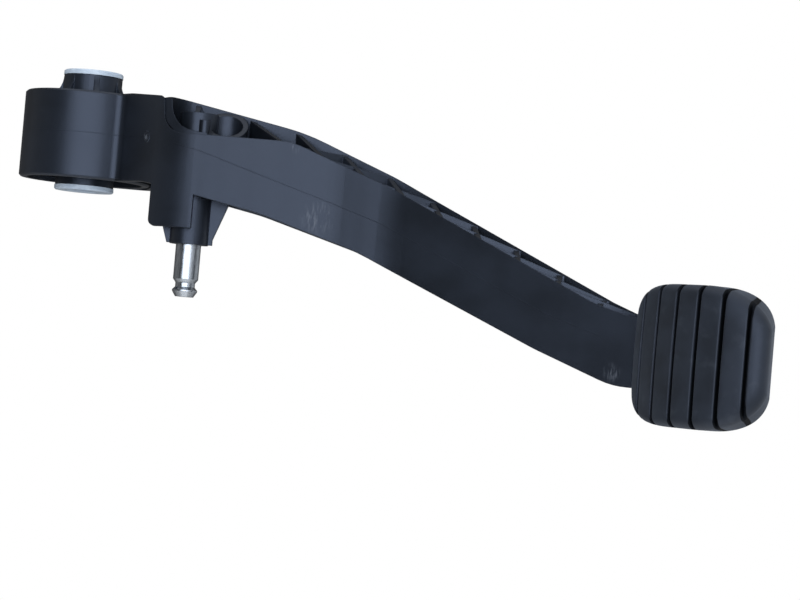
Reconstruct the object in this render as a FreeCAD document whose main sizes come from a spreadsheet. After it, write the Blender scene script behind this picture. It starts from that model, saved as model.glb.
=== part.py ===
import FreeCAD, Part
import math
import os
import Sketcher
from FreeCAD import Placement, Rotation, Vector

# Clutch pedal, in its fitted position.
# Origin: centre of the pivot bore. +Y runs along the pivot axis, +Z is up,
# +X points back to the driver. The arm hangs down and leans back to the pad.
# "drop" is a distance down from the pivot, "reach" a distance back from it and
# "side" a distance along the pivot axis. Lengths are millimetres, angles degrees.
# A heading of 0 runs straight down, one of 90 straight back to the driver.

document = FreeCAD.newDocument("clutch_pedal")
sheet = document.addObject("Spreadsheet::Sheet", "Sizes")

drivingSizes = [
    # hub
    ("hubRadius", 29.7), ("hubWall", 3.6), ("hubTop", 16.2), ("hubBottom", 22.7),
    ("hubEdgeCut", 0.8), ("hubWebThick", 3.0), ("hubRibCount", 7), ("hubRibThick", 2.2),
    ("hubRibTurn", 14.5), ("hubRibRecess", 2.0), ("gussetTop", 24.4), ("gussetMidRadius", 17.0),
    ("gussetFoot", 14.2), ("tubeRadius", 13.2), ("seatRadius", 10.0), ("halfWidth", 27.2),
    # pivot bushes
    ("sleeveRadius", 8.0), ("sleeveClearance", 0.05), ("bushClearance", 0.04),
    ("flangeRadius", 13.4), ("flangeThick", 2.2), ("bushLength", 14.0), ("bushChamfer", 0.5),
    # arm, seen along the pivot axis
    ("armDepth", 26.0), ("armWall", 4.0), ("creaseAngle", 55.2), ("creaseRound", 4.0),
    ("jogHeading", 51.7), ("jogLength", 40.2), ("jogRound", 30.0),
    ("upperHeading", 8.0), ("upperLength", 75.0),
    ("middleHeading", 15.0), ("middleLength", 25.9),
    ("lowerHeading", 27.0), ("bendRound", 60.0),
    ("frontRun", 28.5), ("frontHeading", 78.0), ("frontRound", 8.0), ("frontKneeRound", 12.0),
    ("footBelow", 16.1), ("footHeading", 73.0), ("footRound", 34.0),
    # webs and ribs of the arm
    ("webThick", 3.0), ("ribThick", 2.2), ("ribStep", 0.8), ("ribBite", 2.0),
    ("rearNodeStart", 91.0), ("rearNodePitch", 18.6), ("frontNodeStart", 77.0),
    ("frontNodePitch", 20.8), ("bayCount", 8),
    ("cellDrop", 65.8), ("cellWall", 2.2), ("cellBite", 0.4),
    ("footRibStart", 2.0), ("footRibPitch", 18.0), ("plateRibHeading", 74.0), ("plateRibTurn", 18.0),
    # pushrod pin and its boss
    ("pinDrop", 53.7), ("pinReach", 44.0), ("pinRadius", 5.5), ("pinClearance", 0.04),
    ("pinSeatRadius", 5.0), ("pinSeat", 38.0), ("pinShank", 15.2), ("pinNeckRadius", 4.3),
    ("pinNeckTaper", 1.6), ("pinNeckLength", 1.8), ("pinHeadTaper", 1.3), ("pinHeadLand", 0.6),
    ("pinTipRadius", 4.0), ("pinTipLength", 2.4), ("pinTopBevel", 1.0),
    ("bossRadius", 8.4), ("bossTop", 8.3), ("bossBottom", 48.9), ("bossRibThick", 2.6),
    ("bossRightOut", 15.9), ("bossRightFoot", 10.2), ("bossLeftOut", 11.8), ("bossLeftFoot", 9.7),
    ("bossRibEnd", 2.4), ("bossRibRecess", 0.3), ("bossFrontRise", 4.0),
    ("tabBottom", 42.2), ("tabBefore", 18.3), ("tabAfter", 1.3), ("tabRound", 3.0),
    ("pillarRadius", 2.3), ("pillarTop", 5.0), ("pillarShift", 3.2), ("pillarBite", 0.8),
    ("rearRibShift", 4.0), ("frontRibShift", 1.5),
    # pad plate and its rubber
    ("treadRadius", 69.0), ("treadDrop", 241.9), ("treadLift", 5.0),
    ("treadHeading", 78.1), ("treadLength", 72.7), ("padWidth", 56.2), ("padCornerAcross", 18.5),
    ("padCornerAlong", 30.0), ("padEndSpare", 0.3), ("rubberFront", 7.0), ("plateThick", 4.5),
    ("rubberLip", 2.4), ("rubberSkirt", 2.8), ("rubberClearance", 0.1), ("neckClearance", 0.3),
    ("lipReach", 5.5),
    ("grooveCount", 6), ("groovePitch", 11.1), ("grooveStart", 8.8), ("grooveWidth", 2.3),
    ("grooveDepth", 2.4),
    ("gussetHeading", 57.0), ("gussetTurn", 18.0), ("gussetInner", 12.0), ("gussetHeight", 9.0),
    ("gussetEnd", 1.5), ("gussetSlope", 2.0),
    # top edge of the rear wall, towards the driver
    ("rearTopDrop1", 22.0), ("rearTopSide1", 16.2), ("rearTopRound1", 20.0),
    ("rearTopDrop2", 38.6), ("rearTopSide2", 14.3), ("rearTopRound2", 2.5),
    ("rearTopDrop3", 39.9), ("rearTopSide3", -1.5), ("rearTopRound3", 9.0),
    ("rearTopDrop4", 95.5), ("rearTopSide4", -1.9), ("rearTopRound4", 30.0),
    ("rearTopDrop5", 140.0), ("rearTopSide5", -18.9), ("rearTopRound5", 80.0),
    ("rearTopDrop6", 226.0), ("rearTopSide6", -61.4), ("rearTopRound6", 40.0),
    ("rearTopDrop7", 240.0), ("rearTopSide7", -65.8), ("rearTopRound7", 20.0),
    # top edge of the front wall
    ("frontTopDrop1", 39.5), ("frontTopSide1", 16.2), ("frontTopRound1", 15.0),
    ("frontTopDrop2", 101.0), ("frontTopSide2", 3.9), ("frontTopRound2", 100.0),
    ("frontTopDrop3", 142.0), ("frontTopSide3", -13.0), ("frontTopRound3", 90.0),
    ("frontTopDrop4", 236.0), ("frontTopSide4", -60.0), ("frontTopRound4", 25.0),
    ("frontTopDrop5", 250.0), ("frontTopSide5", -65.8), ("frontTopRound5", 20.0),
    # bottom edge of the rear wall
    ("bottomDrop1", 30.0), ("bottomSide1", -22.7), ("bottomRound1", 20.0),
    ("bottomDrop2", 84.0), ("bottomSide2", -33.7), ("bottomRound2", 90.0),
    ("bottomDrop3", 127.0), ("bottomSide3", -46.8), ("bottomRound3", 90.0),
    ("bottomDrop4", 204.0), ("bottomSide4", -81.8), ("bottomRound4", 80.0),
    ("bottomDrop5", 236.0), ("bottomSide5", -94.4), ("bottomRound5", 30.0),
    # bottom edge of the front wall
    ("frontBottomDrop1", 30.0), ("frontBottomSide1", -22.7), ("frontBottomRound1", 20.0),
    ("frontBottomDrop2", 84.0), ("frontBottomSide2", -33.5), ("frontBottomRound2", 90.0),
    ("frontBottomDrop3", 130.0), ("frontBottomSide3", -47.0), ("frontBottomRound3", 90.0),
    ("frontBottomDrop4", 204.0), ("frontBottomSide4", -80.4), ("frontBottomRound4", 80.0),
    ("frontBottomDrop5", 238.0), ("frontBottomSide5", -94.0), ("frontBottomRound5", 30.0),
    # web between the walls
    ("middleDrop1", 28.0), ("middleSide1", 0.0), ("middleRound1", 20.0),
    ("middleDrop2", 118.0), ("middleSide2", -28.0), ("middleRound2", 60.0),
    ("middleDrop3", 137.0), ("middleSide3", -34.3), ("middleRound3", 60.0),
    ("middleDrop4", 206.0), ("middleSide4", -66.6), ("middleRound4", 60.0),
    ("middleDrop5", 242.0), ("middleSide5", -80.2), ("middleRound5", 30.0),
]

for row, (name, value) in enumerate(drivingSizes, start=1):
    sheet.set(f"A{row}", name)
    sheet.set(f"B{row}", str(value))
    sheet.setAlias(f"B{row}", name)
document.recompute()


def size(name):
    return float(sheet.get(name))


def direction(angle):
    return math.cos(math.radians(angle)), math.sin(math.radians(angle))


# A path is a list of points and a list of corner radii.

def stepFrom(start, angle, length):
    along, across = direction(angle)
    return start[0] + along * length, start[1] + across * length


def crossing(pointOne, angleOne, pointTwo, angleTwo):
    ux, uy = direction(angleOne)
    vx, vy = direction(angleTwo)
    dx, dy = pointTwo[0] - pointOne[0], pointTwo[1] - pointOne[1]
    length = (dx * vy - dy * vx) / (ux * vy - uy * vx)
    return pointOne[0] + ux * length, pointOne[1] + uy * length


def angleOf(start, end):
    return math.degrees(math.atan2(end[1] - start[1], end[0] - start[0]))


def shifted(points, radii, distance):
    """The path moved to its left by a distance."""
    angles = [angleOf(a, b) for a, b in zip(points, points[1:])]
    moved = [stepFrom(points[0], angles[0] + 90, distance)]
    newRadii = []
    for corner, before, after, radius in zip(points[1:-1], angles, angles[1:], radii):
        turn = after - before
        reach = distance / math.cos(math.radians(turn / 2))
        moved.append(stepFrom(corner, before + turn / 2 + 90, reach))
        newRadii.append(max(0.5, radius - math.copysign(distance, turn * distance)
                            if turn * distance > 0 else radius + abs(distance)))
    moved.append(stepFrom(points[-1], angles[-1] + 90, distance))
    return moved, newRadii


def pathPieces(points, radii):
    """Straight and round pieces of a path, as (start, middle or None, end)."""
    pieces = []
    last = points[0]
    for before, corner, after, radius in zip(points, points[1:], points[2:], radii):
        inAngle, outAngle = angleOf(before, corner), angleOf(corner, after)
        half = math.radians(abs((outAngle - inAngle + 180) % 360 - 180) / 2)
        room = 0.49 * min(math.dist(before, corner), math.dist(corner, after))
        setback = min(radius * math.tan(half), room)
        radius = setback / math.tan(half)
        enter = stepFrom(corner, inAngle, -setback)
        leave = stepFrom(corner, outAngle, setback)
        chordMiddle = ((enter[0] + leave[0]) / 2, (enter[1] + leave[1]) / 2)
        bulge = radius / math.cos(half) - radius
        middle = stepFrom(corner, angleOf(corner, chordMiddle), bulge)
        pieces.append((last, None, enter))
        pieces.append((enter, middle, leave))
        last = leave
    pieces.append((last, None, points[-1]))
    return pieces


def reversedPieces(pieces):
    return [(end, middle, start) for start, middle, end in reversed(pieces)]


def closedPieces(*parts):
    """Joins runs of pieces with straight lines into one closed outline."""
    outline = []
    for part in parts:
        if outline and math.dist(outline[-1][2], part[0][0]) > 1e-6:
            outline.append((outline[-1][2], None, part[0][0]))
        outline.extend(part)
    if math.dist(outline[-1][2], outline[0][0]) > 1e-6:
        outline.append((outline[-1][2], None, outline[0][0]))
    return outline


def outlineFace(pieces, place):
    edges = []
    for start, middle, end in pieces:
        if math.dist(start, end) < 1e-6:
            continue
        if middle is None:
            edges.append(Part.makeLine(place(start), place(end)))
        else:
            edges.append(Part.Arc(place(start), place(middle), place(end)).toShape())
    return Part.Face(Part.Wire(edges))


def plan(side):
    """Places (drop, reach) at one side position."""
    return lambda spot: Vector(spot[1], side, -spot[0])


def elevation(reach):
    """Places (drop, side) at one reach."""
    return lambda spot: Vector(reach, spot[1], -spot[0])


def planSolid(pieces, sideLow, sideHigh):
    return outlineFace(pieces, plan(sideLow)).extrude(Vector(0, sideHigh - sideLow, 0))


def elevationSolid(pieces, reachLow, reachHigh):
    return outlineFace(pieces, elevation(reachLow)).extrude(Vector(reachHigh - reachLow, 0, 0))


def polygonPieces(points):
    return [(a, None, b) for a, b in zip(points, points[1:] + points[:1])]


def feature(label, shape):
    item = document.addObject("Part::Feature", label)
    item.Shape = shape
    return item


# Heights of the arm along its drop.

farDrop = size("treadDrop") + 2 * size("treadLength")


def lineSizes(lineName, kind):
    return [size(name) for name, value in drivingSizes if name.rstrip("123456789") == lineName + kind]


def linePoints(lineName):
    points = list(zip(lineSizes(lineName, "Drop"), lineSizes(lineName, "Side")))
    return [(-2 * size("hubRadius"), points[0][1])] + points + [(farDrop, points[-1][1])]


def heightAt(lineName, drop):
    points = linePoints(lineName)
    for (dropOne, sideOne), (dropTwo, sideTwo) in zip(points, points[1:]):
        if drop <= dropTwo:
            return sideOne + (sideTwo - sideOne) * (drop - dropOne) / (dropTwo - dropOne)
    return points[-1][1]


def armBand(topName, bottomName, topShift=0.0, bottomShift=0.0):
    """The arm's elevation between two of its lines, through every reach."""
    top = [(drop, side + topShift) for drop, side in linePoints(topName)]
    bottom = [(drop, side + bottomShift) for drop, side in linePoints(bottomName)]
    outline = closedPieces(pathPieces(top, lineSizes(topName, "Round")),
                           reversedPieces(pathPieces(bottom, lineSizes(bottomName, "Round"))))
    return elevationSolid(outline, -2 * size("hubRadius"), 4 * size("treadRadius"))


# The arm's rear wall, seen along the pivot axis, as far as its last bend.
hubRadius = size("hubRadius")
rearStart = stepFrom((0, 0), size("creaseAngle"), hubRadius)
rearPoints = [stepFrom(rearStart, size("jogHeading"), -2.0)]
rearPoints.append(stepFrom(rearStart, size("jogHeading"), size("jogLength")))
rearPoints.append(stepFrom(rearPoints[-1], size("upperHeading"), size("upperLength")))
rearPoints.append(stepFrom(rearPoints[-1], size("middleHeading"), size("middleLength")))

# The pad's curved tread turns about an axis parallel to the pivot. Its upper end stands
# a little behind the line of the rear wall, and it is centred on the arm's lower end.
treadRadius = size("treadRadius")
treadAngle = math.degrees(size("treadLength") / treadRadius)
middleHeading = size("treadHeading") - treadAngle / 2
lastBend = rearPoints[-1]
treadReach = (lastBend[1] + size("treadLift")
              + (size("treadDrop") - lastBend[0]) * math.tan(math.radians(size("lowerHeading"))))
treadCentre = stepFrom((size("treadDrop"), treadReach), size("treadHeading") - 90, treadRadius)
padSide = size("middleSide5")
plateDepth = size("rubberFront") + size("plateThick")
plateRadius = treadRadius - size("rubberFront") - size("plateThick") / 2


def onTread(angle, depth):
    """The point under the tread where it has this heading."""
    return stepFrom(treadCentre, angle + 90, treadRadius - depth)


def whereMeets(start, angle, radius):
    """Where a straight run meets the circle about the tread's centre."""
    ux, uy = direction(angle)
    dx, dy = start[0] - treadCentre[0], start[1] - treadCentre[1]
    along = dx * ux + dy * uy
    rest = dx * dx + dy * dy - radius * radius
    root = math.sqrt(max(0.0, along * along - rest))
    return [stepFrom(start, angle, -along - root), stepFrom(start, angle, -along + root)]


# The walls end on the pad plate, the front one after a turn at the foot.
rearEnd = whereMeets(rearPoints[-1], size("lowerHeading"), plateRadius)[0]
rearPoints.append(rearEnd)
rearRadii = [size("jogRound"), size("bendRound"), size("bendRound")]

depth = size("armDepth")
innerLine, innerRadii = shifted(rearPoints, rearRadii, -depth)
frontStart = (size("frontRun"), -hubRadius)
knee = crossing(frontStart, size("frontHeading"), innerLine[2], size("upperHeading"))
footDrop = size("treadDrop") + size("footBelow")
footCorner = (footDrop, innerLine[-1][1] + (footDrop - innerLine[-1][0])
              * math.tan(math.radians(size("lowerHeading"))))
footEnd = whereMeets(footCorner, size("footHeading"), plateRadius)[1]
frontPoints = [(0, -hubRadius), frontStart, knee, innerLine[2], innerLine[3], footCorner, footEnd]
frontRadii = [size("frontRound"), size("frontKneeRound"), innerRadii[1], innerRadii[2],
              size("footRound")]


def extended(points, length):
    return points[:-1] + [stepFrom(points[-1], angleOf(points[-2], points[-1]), length)]


def wallStrip(points, radii, thickness):
    longer = extended(points, 2 * size("plateThick") + size("armWall"))
    inside, insideRadii = shifted(longer, radii, thickness)
    return closedPieces(pathPieces(longer, radii), reversedPieces(pathPieces(inside, insideRadii)))


wall = size("armWall")
sideLow, sideHigh = padSide - 2 * size("padWidth"), 2 * hubRadius
footMiddle = onTread((angleOf(treadCentre, footEnd) + angleOf(treadCentre, rearEnd)) / 2 - 90,
                     treadRadius - plateRadius)
planOutline = closedPieces(pathPieces(frontPoints, frontRadii), [(footEnd, footMiddle, rearEnd)],
                           reversedPieces(pathPieces(rearPoints, rearRadii)))
armPlan = planSolid(planOutline, sideLow, sideHigh)
rearStrip = planSolid(wallStrip(rearPoints, rearRadii, -wall), sideLow, sideHigh).common(armPlan)
frontStrip = planSolid(wallStrip(frontPoints, frontRadii, wall), sideLow, sideHigh).common(armPlan)

rearWall = feature("rearWall", rearStrip.common(armBand("rearTop", "bottom")))
frontWall = feature("frontWall", frontStrip.common(armBand("frontTop", "frontBottom")))
halfWeb = size("webThick") / 2
armWeb = feature("armWeb", armPlan.common(armBand("middle", "middle", halfWeb, -halfWeb)))

# The rear wall reaches further down beside the boss of the pushrod pin.
tabStart = size("pinDrop") - size("tabBefore")
tabEnd = size("pinDrop") + size("tabAfter")
tabPath = [(tabEnd, heightAt("bottom", tabEnd) + wall), (tabEnd, -size("tabBottom")),
           (tabStart, -size("tabBottom")), (tabStart, heightAt("bottom", tabStart) + wall)]
tabOutline = closedPieces(pathPieces(tabPath, [0.01, size("tabRound")]))
rearTab = feature("rearTab", rearStrip.common(elevationSolid(tabOutline, 0, 3 * hubRadius)))

# Ribs between the walls.

rearInside, rearInsideRadii = shifted(rearPoints, rearRadii, -wall)
frontInside, frontInsideRadii = shifted(frontPoints, frontRadii, wall)


def wallPoint(points, drop):
    for start, end in zip(points, points[1:]):
        if drop <= end[0]:
            return stepFrom(start, angleOf(start, end),
                            (drop - start[0]) / math.cos(math.radians(angleOf(start, end))))
    return points[-1]


def wallNodes(points, drop, pitch, count):
    """Points at equal steps along a wall, from a drop on."""
    nodes = [wallPoint(points, drop)]
    corners = [corner for corner in points if corner[0] > drop]
    left = pitch
    while len(nodes) < count:
        if len(corners) > 1 and math.dist(nodes[-1], corners[0]) < left:
            left -= math.dist(nodes[-1], corners[0])
            nodes[-1:] = [nodes[-1], corners.pop(0)]
            nodes[-1] = stepFrom(nodes[-1], angleOf(nodes[-1], corners[0]), left)
        else:
            nodes.append(stepFrom(nodes[-1], angleOf(nodes[-1], corners[0]), left))
        left = pitch
    return nodes


def plate(start, end, tops, bottoms, thickness):
    """An upright rib between two plan points, with its own height at each."""
    corners = [Vector(start[1], tops[0], -start[0]), Vector(end[1], tops[1], -end[0]),
               Vector(end[1], bottoms[1], -end[0]), Vector(start[1], bottoms[0], -start[0])]
    across = direction(angleOf(start, end) + 90)
    shift = Vector(across[1], 0, -across[0]) * thickness
    face = Part.Face(Part.makePolygon(corners + corners[:1]))
    face.translate(shift * -0.5)
    return face.extrude(shift)


def spanRib(front, rear, thickness=None):
    """A rib across the arm, its edges just below those of the walls."""
    angle = angleOf(front, rear)
    front = stepFrom(front, angle, -size("ribBite"))
    rear = stepFrom(rear, angle, size("ribBite"))
    step = size("ribStep")
    tops = (heightAt("frontTop", front[0]) - step, heightAt("rearTop", rear[0]) - step)
    bottoms = (heightAt("frontBottom", front[0]) + step, heightAt("bottom", rear[0]) + step)
    return plate(front, rear, tops, bottoms, thickness or size("ribThick"))


bays = int(size("bayCount"))
frontNodes = wallNodes(frontInside, size("frontNodeStart"), size("frontNodePitch"), bays + 2)
rearNodes = wallNodes(rearInside, size("rearNodeStart"), size("rearNodePitch"), bays + 1)
lattice = []
for bay in range(bays + 1):
    lattice.append(spanRib(frontNodes[bay], rearNodes[bay]))
for bay in range(bays):
    lattice.append(spanRib(frontNodes[bay + 2], rearNodes[bay]))

# Ribs of the foot run from the front wall to the back of the pad plate.
footInside = frontInside[-2]
footAngle = size("footHeading")
plateBack = plateDepth - size("ribBite")
footNodes = [stepFrom(footInside, footAngle, size("footRibStart") + i * size("footRibPitch"))
             for i in range(3)]
plateNodes = [onTread(size("plateRibHeading") - i * size("plateRibTurn"), plateBack)
              for i in range(3)]
for node, plateNode in zip(footNodes, plateNodes):
    lattice.append(spanRib(node, plateNode))
for node, plateNode in zip(footNodes, plateNodes[1:]):
    lattice.append(spanRib(node, plateNode))
armRibs = feature("armRibs", lattice[0].fuse(lattice[1:]).common(armPlan))


def underTops(dropLow, dropHigh):
    """The space between the walls below their top edges, over a run of the arm."""
    middle = (dropLow + dropHigh) / 2
    front, rear = wallPoint(frontInside, middle), wallPoint(rearInside, middle)
    step = size("ribStep")
    frontTop, rearTop = heightAt("frontTop", middle) - step, heightAt("rearTop", middle) - step
    spots = [(front[1] - wall, frontTop), (front[1], frontTop), (rear[1], rearTop),
             (rear[1] + wall, rearTop), (rear[1] + wall, -3 * hubRadius),
             (front[1] - wall, -3 * hubRadius)]
    corners = [Vector(reach, side, -dropLow) for reach, side in spots]
    return Part.Face(Part.makePolygon(corners + corners[:1])).extrude(Vector(0, 0, dropLow - dropHigh))


# A round cell stands between the walls next to the boss, cut low on the driver's side.
cellDrop = size("cellDrop")
cellRear, cellFront = wallPoint(rearInside, cellDrop), wallPoint(frontInside, cellDrop)
cellReach = (cellRear[1] + cellFront[1]) / 2
cellRadius = ((cellRear[1] - cellFront[1]) / 2 * math.cos(math.radians(size("upperHeading")))
              + size("cellBite"))
cellTop = heightAt("frontTop", cellDrop)
cellBottom = heightAt("bottom", cellDrop) + size("ribStep")


def column(drop, reach, radius, low, high):
    return Part.makeCylinder(radius, high - low, Vector(reach, low, -drop), Vector(0, 1, 0))


cell = column(cellDrop, cellReach, cellRadius, cellBottom, cellTop)
cell = cell.cut(column(cellDrop, cellReach, cellRadius - size("cellWall"), cellBottom, cellTop))
cell = cell.common(underTops(cellDrop - cellRadius, cellDrop + cellRadius))
roundCell = feature("roundCell", cell)

# Boss of the pushrod pin, its ribs and gussets.

pinDrop, pinReach = size("pinDrop"), size("pinReach")
bossRibs = []
wallLow = heightAt("bottom", pinDrop) + size("ribStep")
frontHit = wallPoint(frontInside, pinDrop)
rearHit = wallPoint(rearInside, pinDrop)
frontRibDrop, rearRibDrop = pinDrop - size("frontRibShift"), pinDrop - size("rearRibShift")
bossTop = size("bossTop") - size("ribStep")
bossRibs.append(plate((frontRibDrop, frontHit[1] - size("ribBite")), (frontRibDrop, pinReach),
                      (heightAt("frontTop", frontRibDrop), bossTop), (wallLow, wallLow),
                      size("ribThick")))
rearTopHere = heightAt("rearTop", pinDrop) - size("ribStep")
tabFloor = size("ribStep") - size("tabBottom")
bossRibs.append(plate((rearRibDrop, pinReach), (rearRibDrop, rearHit[1] + size("ribBite")),
                      (rearTopHere, rearTopHere), (tabFloor, tabFloor), size("ribThick")))
halfBossRib = size("bossRibThick") / 2
bossFloor = size("bossRibRecess") - size("bossBottom")
rightEnd, leftEnd = pinDrop + size("bossRightOut"), pinDrop - size("bossLeftOut")
rightFoot, leftFoot = pinDrop + size("bossRightFoot"), pinDrop - size("bossLeftFoot")
rightGusset = [(pinDrop, wallLow + wall), (rightEnd, wallLow + wall),
               (rightEnd, heightAt("bottom", rightEnd)), (rightFoot, bossFloor + size("bossRibEnd")),
               (rightFoot, bossFloor), (pinDrop, bossFloor)]
leftGusset = [(pinDrop, wallLow + wall), (leftEnd, wallLow + wall),
              (leftEnd, -size("tabBottom")), (leftFoot, bossFloor), (pinDrop, bossFloor)]
for outline in (rightGusset, leftGusset):
    bossRibs.append(elevationSolid(polygonPieces(outline), pinReach - halfBossRib,
                                   pinReach + halfBossRib))
frontRise = bossFloor + size("bossFrontRise")
frontGusset = [(pinReach, wallLow + wall), (frontHit[1] - size("ribBite"), wallLow + wall),
               (frontHit[1] - size("ribBite"), wallLow),
               (pinReach - size("bossRadius"), frontRise), (pinReach, frontRise)]
gussetFace = Part.Face(Part.makePolygon([Vector(reach, side, -pinDrop + size("ribThick") / 2)
                                         for reach, side in frontGusset + frontGusset[:1]]))
bossRibs.append(gussetFace.extrude(Vector(0, 0, -size("ribThick"))))
pillarReach = rearHit[1] - size("pillarRadius") + size("pillarBite")
bossRibs.append(column(pinDrop + size("pillarShift"), pillarReach, size("pillarRadius"),
                       heightAt("middle", pinDrop), size("pillarTop")))
pinGussets = feature("pinGussets", bossRibs[0].fuse(bossRibs[1:]))


def cylinder(label, radius, length, baseX, baseY, baseZ):
    """A cylinder along the pivot axis, with its sizes bound to the sheet."""
    item = document.addObject("Part::Cylinder", label)
    item.Placement = Placement(Vector(0, 0, 0), Rotation(Vector(1, 0, 0), -90))
    item.setExpression("Radius", radius)
    item.setExpression("Height", length)
    item.setExpression("Placement.Base.x", baseX)
    item.setExpression("Placement.Base.y", baseY)
    item.setExpression("Placement.Base.z", baseZ)
    return item


pinBoss = cylinder("pinBoss", "Sizes.bossRadius", "Sizes.bossTop + Sizes.bossBottom",
                   "Sizes.pinReach", "-Sizes.bossBottom", "-Sizes.pinDrop")
pinHole = cylinder("pinHole", "Sizes.pinSeatRadius + Sizes.pinClearance", "Sizes.pinSeat + 1",
                   "Sizes.pinReach", "-Sizes.bossBottom - 1", "-Sizes.pinDrop")

# Hub: a ribbed drum round the pivot tube.

hubOuter = cylinder("hubOuter", "Sizes.hubRadius", "Sizes.hubTop + Sizes.hubBottom",
                    "0", "-Sizes.hubBottom", "0")
hubInner = cylinder("hubInner", "Sizes.hubRadius - Sizes.hubWall",
                    "Sizes.hubTop + Sizes.hubBottom + 2", "0", "-Sizes.hubBottom - 1", "0")
hubWeb = cylinder("hubWeb", "Sizes.hubRadius - Sizes.hubWall / 2", "Sizes.hubWebThick",
                  "0", "-Sizes.hubWebThick / 2", "0")
pivotTube = cylinder("pivotTube", "Sizes.tubeRadius", "2 * (Sizes.halfWidth - Sizes.flangeThick)",
                     "0", "Sizes.flangeThick - Sizes.halfWidth", "0")
seatBore = cylinder("seatBore", "Sizes.seatRadius", "2 * Sizes.halfWidth",
                    "0", "-Sizes.halfWidth", "0")
document.recompute()

hubDrum = document.addObject("Part::Chamfer", "hubDrum")
hubDrum.Base = hubOuter
rimEdges = [number for number, edge in enumerate(hubOuter.Shape.Edges, start=1)
            if isinstance(edge.Curve, Part.Circle)]
edgeCut = min(size("hubEdgeCut"), 0.4 * size("hubWall"))
hubDrum.Edges = [(number, edgeCut, edgeCut) for number in rimEdges]
hubRing = document.addObject("Part::Cut", "hubRing")
hubRing.Base = hubDrum
hubRing.Tool = hubInner

hubRibs = []
ringInside = hubRadius - size("hubWall") / 2
tubeEdge = (size("tubeRadius") + size("seatRadius")) / 2
arcPoints = [Vector(size("tubeRadius"), size("gussetTop"), 0),
             Vector(size("gussetMidRadius"), size("hubTop"), 0),
             Vector(ringInside, size("gussetFoot"), 0)]
for number in range(int(size("hubRibCount"))):
    edges = [Part.Arc(*arcPoints).toShape()]
    rest = [arcPoints[2], Vector(ringInside, size("hubRibRecess") - size("hubBottom"), 0),
            Vector(tubeEdge, size("hubRibRecess") - size("hubBottom"), 0),
            Vector(tubeEdge, size("gussetTop"), 0), arcPoints[0]]
    edges.extend(Part.makeLine(a, b) for a, b in zip(rest, rest[1:]))
    rib = Part.Face(Part.Wire(edges))
    rib.translate(Vector(0, 0, -size("hubRibThick") / 2))
    rib = rib.extrude(Vector(0, 0, size("hubRibThick")))
    rib.rotate(Vector(0, 0, 0), Vector(0, 1, 0), size("hubRibTurn") + 360 / size("hubRibCount") * number)
    hubRibs.append(rib)
hubGussets = feature("hubGussets", hubRibs[0].fuse(hubRibs[1:]))

# A rounded filling where the rear wall leaves the hub.
creaseRound = size("creaseRound")
jogAngle = size("jogHeading")
offsetStart = stepFrom(rearStart, jogAngle + 90, creaseRound)
ux, uy = direction(jogAngle)
along = offsetStart[0] * ux + offsetStart[1] * uy
rest = offsetStart[0] ** 2 + offsetStart[1] ** 2 - (hubRadius + creaseRound) ** 2
creaseCentre = stepFrom(offsetStart, jogAngle, -along + math.sqrt(max(0.0, along * along - rest)))
hubTouch = stepFrom((0, 0), angleOf((0, 0), creaseCentre), hubRadius)
wallTouch = stepFrom(creaseCentre, jogAngle - 90, creaseRound)
creaseMiddle = stepFrom(creaseCentre, angleOf(creaseCentre, stepFrom(rearStart, jogAngle, 1.0)),
                        creaseRound)
inward = stepFrom(rearStart, angleOf(rearStart, (0, 0)), 1.0)
creaseOutline = closedPieces([(hubTouch, creaseMiddle, wallTouch)],
                             [(wallTouch, None, inward)], [(inward, None, hubTouch)])
hubCrease = feature("hubCrease", planSolid(creaseOutline, edgeCut - size("hubBottom"),
                                           size("hubTop") - edgeCut))


def ovalCorners(halfLength, halfWidth, along, across):
    """Pieces of a rectangle whose corners are ovals, each drawn with two arcs."""
    slope = math.atan2(across, along)
    chord = (1 - math.sqrt(0.5)) * math.hypot(along, across)
    longRadius = min(chord, (math.sqrt(2) - 1) * along) / math.tan(slope / 2)
    shortRadius = min(chord, (math.sqrt(2) - 1) * across) / math.tan((math.pi / 2 - slope) / 2)
    cutAlong, cutAcross = (2 - math.sqrt(2)) * along, (2 - math.sqrt(2)) * across
    spots = [(0, -halfWidth)]
    radii = []
    for signAlong, signAcross in ((1, -1), (1, 1), (-1, 1), (-1, -1)):
        onSide = (signAlong * (halfLength - cutAlong), signAcross * halfWidth)
        onEnd = (signAlong * halfLength, signAcross * (halfWidth - cutAcross))
        sideFirst = signAlong * signAcross < 0
        spots.extend([onSide, onEnd] if sideFirst else [onEnd, onSide])
        radii.extend([longRadius, shortRadius] if sideFirst else [shortRadius, longRadius])
    return pathPieces(spots + spots[:1], radii)


def padPrism(inset, depthNear, depthFar):
    """The pad's outline between two depths, its ends square to the tread."""
    halfAngle = math.radians(treadAngle / 2)
    halfLength = treadRadius * math.sin(halfAngle) + size("padEndSpare") - inset
    halfWidth = size("padWidth") / 2 - inset
    along = min(size("padCornerAlong") - inset / 2, 0.95 * halfLength)
    across = min(size("padCornerAcross") - inset / 2, 0.95 * halfWidth)
    base = stepFrom(treadCentre, middleHeading + 90, treadRadius - depthFar)

    def place(spot):
        drop, reach = stepFrom(base, middleHeading, spot[0])
        return Vector(reach, padSide + spot[1], -drop)

    drop, reach = direction(middleHeading + 90)
    prism = outlineFace(ovalCorners(halfLength, halfWidth, along, across), place)
    prism = prism.extrude(Vector(reach, 0, -drop) * (depthFar - depthNear))
    tipShift = inset / math.sin(halfAngle)
    tip = stepFrom(treadCentre, middleHeading + 90, tipShift)
    arms = [stepFrom(tip, middleHeading + 90 + sign * treadAngle / 2, 2 * treadRadius)
            for sign in (1, -1)]
    return prism.common(planSolid(polygonPieces([tip] + arms), padSide - size("padWidth"),
                                  padSide + size("padWidth")))


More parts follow.
